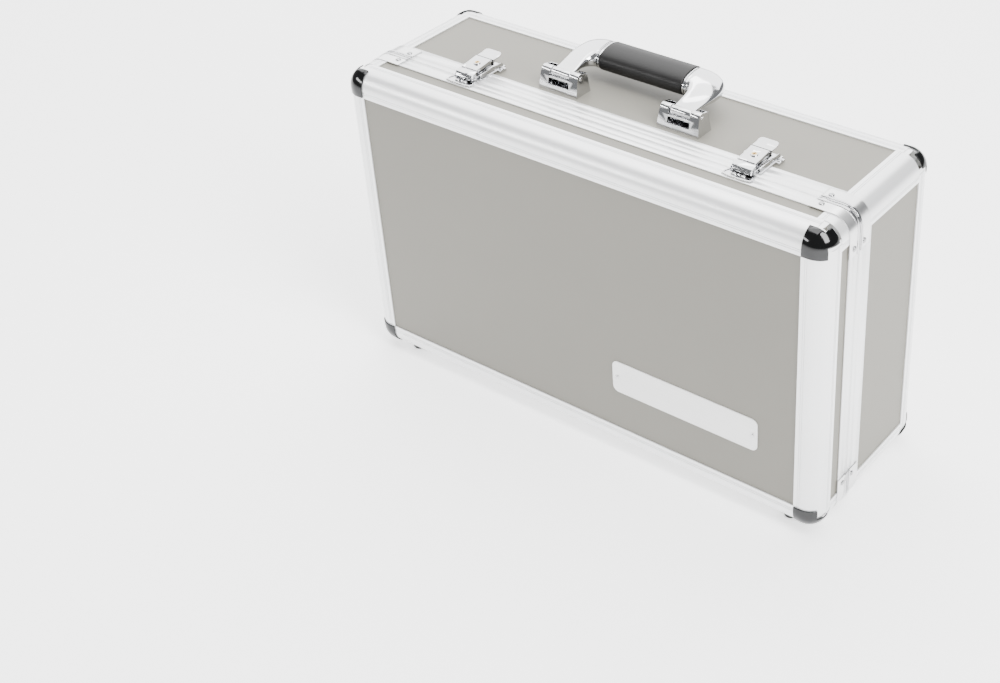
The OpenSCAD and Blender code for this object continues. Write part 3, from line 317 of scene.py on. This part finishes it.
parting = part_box("lid_rim_left")[1].y + 0.0002
for half, rib in (("lid", (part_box("lid_rim_left")[0].y, parting)),
                  ("base", (parting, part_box("base_rim_left")[1].y))):
    wide = extruded(f"{half}_rim_along_width", 0, rib)
    tall = extruded(f"{half}_rim_along_height", 2, rib)
    for edge, finish, axis, end in (("top", wide, 2, 1), ("bottom", wide, 2, 0), ("left", tall, 0, 0),
                                    ("right", tall, 0, 1)):
        name = f"{half}_rim_{edge}"
        finer(name, half, finish, 0.0002, 1, mend=level(axis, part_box(name)[end][axis]))


# ---- ball corners: chrome plated steel ---------------------------------------------------
# Deep drawn corners that sit over the mitred extrusions, with a tongue along the edge. They
# are polished chrome with faint wiping marks. Their colour is painted near black: painted shade
# that stands in for the dark room the chrome reflects, between sharp white lights.

def chromed(name, low, high, smooth, smudge):
    """Polished plating between two greys, with roughness smooth and smudge for wiping marks."""
    metal = Finish(name, Metallic=1.0)
    wipe = metal.noise(45.0, 4.0, 0.6)
    pits = metal.noise(900.0, 1.0, 0.5)
    metal.feed(
        Base_Color=metal.mix(wipe, (low, low * 1.005, low * 1.02, 1), (high, high * 1.005, high * 1.02, 1)),
        Roughness=smooth + wipe * smudge + pits * 0.02,
    )
    metal.relief(metal.noise(120.0, 2.0, 0.5), 0.00004, 0.2)
    return metal


# Painted shade: this chrome's base colour is set near black to stand in for dark reflections.
painted_dark_chrome = chromed("corner_chrome", 0.036, 0.058, 0.07, 0.06)
finer("lid_ball_corners", "lid", painted_dark_chrome, 0.0003)
finer("base_ball_corners", "base", painted_dark_chrome, 0.0003)


# ---- rim brackets and rivets: nickel plated sheet ----------------------------------------
# Thin pressed sheet bent round each corner of the two rims, with a bead along the parting and
# one domed rivet in each leg. The sheet is satin, the rivets are polished and sit in a dark ring.

nickel = chromed("nickel_plate", 0.62, 0.76, 0.12, 0.10)
satin_nickel = Finish("satin_nickel", Metallic=1.0)
wipe = satin_nickel.noise(45.0, 4.0, 0.6)
# Along the bead the sheet is polished and its colour is painted darker. The polish is real; the darker
# colour is painted shade that stands in for dark reflections.
away = satin_nickel.along("Y") - parting
flat = satin_nickel.rise(abs(away), 0.0036, 0.0042)
satin_nickel.feed(
    Base_Color=satin_nickel.mix(wipe * 0.4 + flat * 0.6, (0.50, 0.50, 0.51, 1), (0.80, 0.80, 0.80, 1)),
    Roughness=0.05 + flat * 0.20 + wipe * 0.08,
)
rivet_steel = chromed("rivet_steel", 0.30, 0.44, 0.10, 0.10)
finer("lid_rim_brackets", "lid", satin_nickel, 0.00022)
finer("base_rim_brackets", "base", satin_nickel, 0.00022)
finer("lid_rivets", "lid", rivet_steel, 0.00015, 1, 60.0)
finer("base_rivets", "base", rivet_steel, 0.00015, 1, 60.0)


# ---- plate on the lid: bare satin aluminium ----------------------------------------------
# A thin brushed plate with rounded corners, held by two small pins and left bare.

brushed = Finish("bare_plate", Metallic=0.35, Specular_IOR_Level=0.6)
grain = brushed.noise(1.0, 3.0, 0.6, at=brushed.stretched((14.0, 900.0, 900.0)))
brushed.feed(
    Base_Color=brushed.mix(grain, (0.74, 0.74, 0.735, 1), (0.88, 0.88, 0.875, 1)),
    Roughness=0.30 + grain * 0.14,
)
brushed.relief(grain, 0.00003, 0.25)
finer("front_plate", "lid", brushed, 0.0002)
finer("front_plate_pins", "lid", nickel, 0.00015, 1, 60.0)


# ---- foam: egg-crate pads and flat strips -------------------------------------------------
# Charcoal open-cell foam: a pad with egg-crate relief behind the lid face and against the
# back, and flat strips round the sides of the base, all glued in.

foam = Finish("open_cell_foam", Specular_IOR_Level=0.15)
cells = foam.noise(1100.0, 3.0, 0.7)
dust = foam.noise(40.0, 3.0, 0.6)
foam.feed(
    Base_Color=foam.mix(cells * 0.7 + dust * 0.3, (0.010, 0.010, 0.011, 1), (0.060, 0.060, 0.064, 1)),
    Roughness=0.88 + cells * 0.1,
)
foam.relief(cells, 0.0006, 0.7)


def built(name, points, faces):
    """Smooth closed object from points and lists of faces, with its faces turned outwards."""
    mesh = bpy.data.meshes.new(name)
    mesh.from_pydata(points.tolist(), [], faces)
    work = bmesh.new()
    work.from_mesh(mesh)
    bmesh.ops.recalc_face_normals(work, faces=work.faces)
    work.to_mesh(mesh)
    work.free()
    mesh.polygons.foreach_set("use_smooth", np.ones(len(mesh.polygons), bool))
    piece = bpy.data.objects.new(name, mesh)
    bpy.context.scene.collection.objects.link(piece)
    return piece


def closed_grid(name, rings):
    """Closed mesh over an array of rings (stations x around x 3), its two ends fanned shut."""
    stations, around = rings.shape[:2]
    row = np.arange(stations - 1)[:, None] * around
    column = np.arange(around)
    ahead = (column + 1) % around
    sides = np.stack([row + column, row + ahead, row + around + ahead, row + around + column], -1)
    points = np.concatenate([rings.reshape(-1, 3), rings[:1].mean(1), rings[-1:].mean(1)])
    first, last = len(points) - 2, len(points) - 1
    end = (stations - 1) * around
    fans = np.concatenate([
        np.stack([ahead, column, np.full(around, first)], -1),
        np.stack([end + column, end + ahead, np.full(around, last)], -1)])
    return built(name, points, sides.reshape(-1, 4).tolist() + fans.tolist())


def egg_crate(name, node, inward, body, pitch=0.022):
    """Pad filling a node's box, its inner face at depth d + a (sin u sin v) over half a pitch.

    The relief fades out at the rim of the pad. inward is the sign of Y that points into the case.
    """
    low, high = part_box(node)
    centre = (low + high) / 2
    half = (high - low) / 2
    across, up = 150, 92
    u = np.linspace(-1, 1, across)[:, None] * np.ones(up)
    v = np.ones(across)[:, None] * np.linspace(-1, 1, up)
    edge = np.clip((1 - np.abs(u)) * half.x / 0.008, 0, 1) * np.clip((1 - np.abs(v)) * half.z / 0.008, 0, 1)
    waves = np.sin(np.pi * u * half.x / pitch * 2) * np.sin(np.pi * v * half.z / pitch * 2)
    front = half.y - 0.0045 * (1 - waves) * edge - 0.0015 * (1 - edge)
    back = np.full_like(u, -half.y)
    grid = np.stack([centre.x + u * half.x, centre.y + inward * front, centre.z + v * half.z], -1)
    rear = np.stack([centre.x + u * half.x, centre.y + inward * back, centre.z + v * half.z], -1)
    index = np.arange(across * up).reshape(across, up)
    quads = np.stack([index[:-1, :-1], index[1:, :-1], index[1:, 1:], index[:-1, 1:]], -1).reshape(-1, 4)
    loop = np.concatenate([index[:, 0], index[-1, 1:], index[-2::-1, -1], index[0, -2:0:-1]])
    ahead = np.roll(loop, -1)
    total = across * up
    rim = np.stack([loop, ahead, ahead + total, loop + total], -1)
    points = np.concatenate([grid.reshape(-1, 3), rear.reshape(-1, 3)])
    piece = built(name, points, np.concatenate([quads, quads[:, ::-1] + total, rim]).tolist())
    piece.data.set_sharp_from_angle(angle=np.radians(60.0))
    dress(foam, piece)
    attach(piece, body)
    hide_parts(node)
    return piece


egg_crate("lid_egg_crate_foam", "lid_foam_pad", 1, "lid")
egg_crate("back_egg_crate_foam", "foam_back_pad", -1, "base")
strips = finer("foam_walls", "base", foam, 0.0012, 3)


# ---- handle brackets: chrome plated castings ----------------------------------------------
# Flared feet with a window in front and rolled knuckles that hold the pins. Two screws each
# go through the top panel into a backing plate.

bright_chrome = chromed("fitting_chrome", 0.55, 0.68, 0.05, 0.07)
finer("handle_brackets", "base", bright_chrome, 0.0005, 3)
finer("handle_pins", "base", nickel, 0.0003)
finer("handle_screws", "base", nickel, 0.00015, 1, 60.0)
dress(nickel, "handle_backing_plates")


# ---- handle frame: chrome plated casting --------------------------------------------------
# Two arms with domed tops grow out of the hubs, turn inwards over rounded shoulders and end
# in a stepped collar at each end of the grip. Their outer edges hang lower than the inner.

pivot = next(joint["pos_m"] for joint in frame["joints"] if joint["name"] == "handle_fold")
tilt = np.radians(8.0)


def on_handle(x, reach, height):
    """Points of the folded handle: x across, reach from the pin along the arms, height above."""
    return np.stack([
        x + 0 * reach,
        pivot[1] + reach * np.cos(tilt) - height * np.sin(tilt) + 0 * x,
        pivot[2] + reach * np.sin(tilt) + height * np.cos(tilt) + 0 * x], -1)


def follow(knots, count):
    """Points at even steps along a smooth curve through the knots (Catmull-Rom)."""
    knots = np.asarray(knots, float)
    longer = np.concatenate([2 * knots[:1] - knots[1:2], knots, 2 * knots[-1:] - knots[-2:-1]])
    t = np.linspace(0, len(knots) - 1, count)
    i = np.clip(t.astype(int), 0, len(knots) - 2)
    f = (t - i)[:, None]
    a, b, c, d = longer[i], longer[i + 1], longer[i + 2], longer[i + 3]
    curve = 2 * b + (c - a) * f + (2 * a - 5 * b + 4 * c - d) * f ** 2 + (3 * b - a - 3 * c + d) * f ** 3
    return curve / 2


def arm(side):
    """Arm swept from the hub to the grip, its flat section swelling into the oval of the collar.

    Each section spans from the inner plan curve to the outer one. With e going from 0.4 to 0.85
    along the arm, its points are sign(cos a) |cos a|^e across and sign(sin a) |sin a|^e upwards.
    The outer flank hangs 4 mm lower than the inner edge.
    """
    stations, around = 80, 64
    inner = follow([
        (53, 0), (53, 6), (53, 12), (52.6, 18), (51.4, 22.6), (49.4, 25.4), (47.6, 26.2)], stations)
    outer = follow([
        (73, 0), (73.4, 9), (75, 20), (76.3, 31), (75.4, 41), (71.4, 49.4), (64, 55), (55.6, 57), (47.6, 57),
    ], stations)
    u = np.linspace(0, 1, stations)[:, None]
    swell = np.clip((u - 0.14) / 0.8, 0, 1)
    swell = swell ** 2 * (3 - 2 * swell)
    roundness = 0.4 + 0.45 * np.clip(u / 0.8, 0, 1)
    angle = np.linspace(0, 2 * np.pi, around, endpoint=False)
    across = 0.5 - 0.5 * np.sign(np.cos(angle)) * np.abs(np.cos(angle)) ** roundness
    upward = np.sign(np.sin(angle)) * np.abs(np.sin(angle)) ** roundness
    lean = np.clip(u / 0.35, 0, 1) * np.clip((1 - u) / 0.5, 0, 1)
    flank = 4.0 * across * np.clip((u - 0.2) / 0.25, 0, 1) * (1 - swell) * np.clip(-upward, 0, 1)
    height = 1.1 - 1.3 * swell + upward * (1.7 + 7.8 * swell) + lean * (0.8 - 2.2 * across) - flank
    plan = inner[:, None, :] * (1 - across[..., None]) + outer[:, None, :] * across[..., None]
    return on_handle(side * plan[..., 0] / 1e3, plan[..., 1] / 1e3, height / 1e3)


def collar(side):
    """Oval collar in three steps, lying round the end of the grip's bar."""
    steps = np.array([[43.95, 0.90], [44.0, 0.94], [45.2, 0.95], [45.4, 0.87], [46.1, 0.87], [46.3, 0.95],
                      [48.3, 0.94], [49.2, 0.90], [49.45, 0.80]])
    angle = np.linspace(0, 2 * np.pi, 64, endpoint=False)
    reach = 41.5 + steps[:, 1:] * 16.5 * np.sign(np.cos(angle)) * np.abs(np.cos(angle)) ** 0.85
    height = -0.2 + steps[:, 1:] * 9.75 * np.sign(np.sin(angle)) * np.abs(np.sin(angle)) ** 0.85
    return on_handle(side * steps[:, :1] / 1e3, reach / 1e3, height / 1e3)


def hub(side):
    """Barrel round the pin: radius 4.2 mm, with rounded ends."""
    x = np.array([53.02, 53.05, 53.35, 53.8, 72.2, 72.65, 72.95, 72.98])[:, None]
    radius = np.array([1.9, 3.6, 4.05, 4.18, 4.18, 4.05, 3.6, 1.9])[:, None]
    angle = np.linspace(0, 2 * np.pi, 48, endpoint=False)
    return on_handle(side * x / 1e3, radius * np.cos(angle) / 1e3, radius * np.sin(angle) / 1e3)


parts = [closed_grid("part", shape(side)) for side in (-1, 1) for shape in (arm, collar, hub)]
parts.append(closed_grid("part", on_handle(
    np.array([[-44.1], [44.1]]) / 1e3,
    (41.5 + 12 * np.array([[-1, 1, 1, -1]])) / 1e3, (-0.2 + 2.8 * np.array([[-1, -1, 1, 1]])) / 1e3)))
casting = parts[0]
casting.name = "handle_casting"
with bpy.context.temp_override(active_object=casting, object=casting, selected_editable_objects=parts,
                               selected_objects=parts):
    bpy.ops.object.join()
casting.data.set_sharp_from_angle(angle=np.radians(50.0))
dress(bright_chrome, casting)
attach(casting, "handle")
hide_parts("handle_frame")


# ---- grip: dark grey soft rubber -----------------------------------------------------------
# An oval sleeve moulded over the bar, with slightly rounded ends and a faint matt grain.

soft = Finish("soft_grip", Specular_IOR_Level=0.2)
pore = soft.noise(800.0, 2.0, 0.5)
rub = soft.noise(30.0, 3.0, 0.6)
soft.feed(
    Base_Color=soft.mix(pore * 0.6 + rub * 0.4, (0.006, 0.0058, 0.0058, 1), (0.014, 0.0135, 0.0135, 1)),
    Roughness=0.30 + pore * 0.10 + rub * 0.08,
)
soft.relief(pore, 0.00008, 0.35)


def sleeve():
    """Oval section along X whose half length 43.5 mm ends in quarter circles of 1.2 mm."""
    turn = np.linspace(0, np.pi / 2, 6)
    ends = 43.5 - 1.2 * (1 - np.cos(turn))
    x = np.concatenate([-ends, np.linspace(-41, 41, 30), ends[::-1]])
    inset = np.concatenate([1.2 * (1 - np.sin(turn)), np.zeros(30), 1.2 * (1 - np.sin(turn[::-1]))])
    angle = np.linspace(0, 2 * np.pi, 96, endpoint=False)
    c, s = np.cos(angle), np.sin(angle)
    reach = 41.5 + (16.5 - inset[:, None]) * np.sign(c) * np.abs(c) ** 0.85
    height = -0.2 + (9.75 - inset[:, None]) * np.sign(s) * np.abs(s) ** 0.85
    return on_handle(x[:, None] / 1e3, reach / 1e3, height / 1e3)


grip = closed_grid("handle_sleeve", sleeve())
dress(soft, grip)
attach(grip, "handle")
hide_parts("handle_grip")


# ---- latches: chrome plated pressings with brass locks --------------------------------------
# Each lever is a sloped cover with side walls and a thumb tab; the hook swings under it and
# pulls on the lip of the catch plate. A brass barrel with a keyhole turns the cam.

finer("latch_catches", "lid", bright_chrome, 0.0002)
finer("latch_base_plates", "base", bright_chrome, 0.0002)
finer("latch_pins", "base", nickel, 0.0002)
barrel_radius = 0.0032
axis_of_lock = {}
for side in ("left", "right"):
    low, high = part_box(f"latch_{side}_lock")
    axis_of_lock[side] = (low.x + barrel_radius, low.y + barrel_radius)
lock_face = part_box("latch_left_lock")[1].z


def lock_brass(side):
    """Brass core of 2.3 mm radius in a plated bezel; painted shade darkens the keyhole below the face."""
    metal = Finish(f"lock_brass_{side}", Metallic=1.0)
    x = metal.along("X") - axis_of_lock[side][0]
    y = metal.along("Y") - axis_of_lock[side][1]
    z = metal.along("Z")
    radius = (x * x + y * y) ** 0.5
    bezel = metal.rise(radius, 0.0023, 0.0024)
    # Painted shade: the keyhole goes dark with depth below the face.
    depth = metal.rise(lock_face - z, 0.0004, 0.0012)
    tarnish = metal.noise(400.0, 3.0, 0.6)
    core = metal.mix(tarnish, (0.42, 0.27, 0.10, 1), (0.72, 0.52, 0.24, 1))
    plated = metal.mix(bezel, core, (0.62, 0.62, 0.63, 1))
    metal.feed(
        Base_Color=metal.mix(depth, plated, (0.03, 0.02, 0.01, 1)),
        Roughness=0.20 + tarnish * 0.14,
    )
    return metal


def stepped(place):
    """Mend that lifts the rear edge of the cover by 0.4 mm, so that it ends in a step."""
    lifted = place.copy()
    if abs(place.y - cover_end.y) < 2e-5 and abs(place.z - cover_end.z) < 2e-5:
        lifted.z += 0.0004
    return lifted


cover_end = Vector((0, parting + 0.0234, lock_face + 0.0004))
lever_chrome = chromed("lever_chrome", 0.50, 0.64, 0.05, 0.07)
# Painted shadow: a dark band on the tab just behind the cover's rear step draws the line between cover and
# tab.
behind = lever_chrome.along("Y") - cover_end.y
painted_step_shadow = lever_chrome.rise(behind, -0.0001, 0.0) - lever_chrome.rise(behind, 0.0020, 0.0024)
lever_chrome.shade(painted_step_shadow, (0.015, 0.015, 0.015, 1))
for side in ("left", "right"):
    finer(f"latch_{side}_lever", f"{side}_lever", lever_chrome, 0.00025, 2, 12.0, mend=stepped)
    finer(f"latch_{side}_hook", f"{side}_hook", bright_chrome, 0.0003, 2)
    finer(f"latch_{side}_lock", f"{side}_lock", lock_brass(side), 0.00015, 2)


# ---- hinges and feet -------------------------------------------------------------------------
# Plated butt hinges sit under the parting. Four small black rubber feet have a recess for
# their screws.

finer("hinge_lid_leaves", "lid", nickel, 0.0002)
finer("hinge_base_leaves", "base", nickel, 0.0002)
finer("hinge_pins", "base", nickel, 0.0002)
rubber = Finish("foot_rubber", Specular_IOR_Level=0.35)
scuff = rubber.noise(250.0, 4.0, 0.65)
rubber.feed(
    Base_Color=rubber.mix(scuff, (0.012, 0.012, 0.012, 1), (0.045, 0.044, 0.042, 1)),
    Roughness=0.55 + scuff * 0.2,
)
rubber.relief(scuff, 0.0001, 0.4)
finer("lid_feet", "lid", rubber, 0.0006, 3)
finer("base_feet", "base", rubber, 0.0006, 3)


# ---- studio ---------------------------------------------------------------------------------
# Pale seamless floor that glows a little, like a lit table. A wide panel behind on the left and
# a smaller one overhead whiten flat tops; two narrow ones on the sides draw lights on the chrome.

floor_mesh = bpy.data.meshes.new("floor")
floor_mesh.from_pydata([(-6, -6, 0), (6, -6, 0), (6, 6, 0), (-6, 6, 0)], [], [(0, 1, 2, 3)])
floor = bpy.data.objects.new("floor", floor_mesh)
bpy.context.scene.collection.objects.link(floor)
paper = Finish("pale_floor", Specular_IOR_Level=0.2)
fibre = paper.noise(60.0, 3.0, 0.6)
paper.feed(
    Base_Color=paper.mix(fibre, (0.90, 0.90, 0.90, 1), (0.94, 0.94, 0.94, 1)),
    Roughness=0.85 + fibre * 0.1,
)
paper.shader.inputs["Emission Color"].default_value = (1.0, 1.0, 1.0, 1)
paper.shader.inputs["Emission Strength"].default_value = 1.2
dress(paper, floor)
floor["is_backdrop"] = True

world = bpy.data.worlds.new("studio")
bpy.context.scene.world = world
world.use_nodes = True
world.node_tree.nodes["Background"].inputs["Color"].default_value = (0.96, 0.98, 1.0, 1)
world.node_tree.nodes["Background"].inputs["Strength"].default_value = 0.34


def softbox(name, azimuth, elevation, distance, width, height, brightness, roll=0.0):
    """Rectangular area light of even brightness that faces the case.

    Azimuth turns from the back towards the right, elevation rises from the floor, in degrees.
    """
    light = bpy.data.lights.new(name, "AREA")
    light.shape = "RECTANGLE"
    light.size = width
    light.size_y = height
    light.energy = brightness * np.pi * width * height
    lamp = bpy.data.objects.new(name, light)
    a, e = np.radians(azimuth), np.radians(elevation)
    away = Vector((np.sin(a) * np.cos(e), np.cos(a) * np.cos(e), np.sin(e)))
    lamp.location = Vector((0, 0, 0.2)) + away * distance
    lamp.rotation_euler = ((-away).to_track_quat("-Z", "Y").to_matrix() @ Matrix.Rotation(
        np.radians(roll), 3, "Z")).to_euler()
    bpy.context.scene.collection.objects.link(lamp)


softbox("right_strip", 104, 48, 2.2, 0.9, 2.0, 20.0)
softbox("front_left_strip", -138, 24, 2.2, 1.4, 0.28, 18.0)
softbox("rear_left_panel", -36, 38, 2.6, 4.4, 3.2, 4.8)
softbox("overhead", -75, 80, 2.2, 1.7, 1.7, 5.2)

low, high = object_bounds()
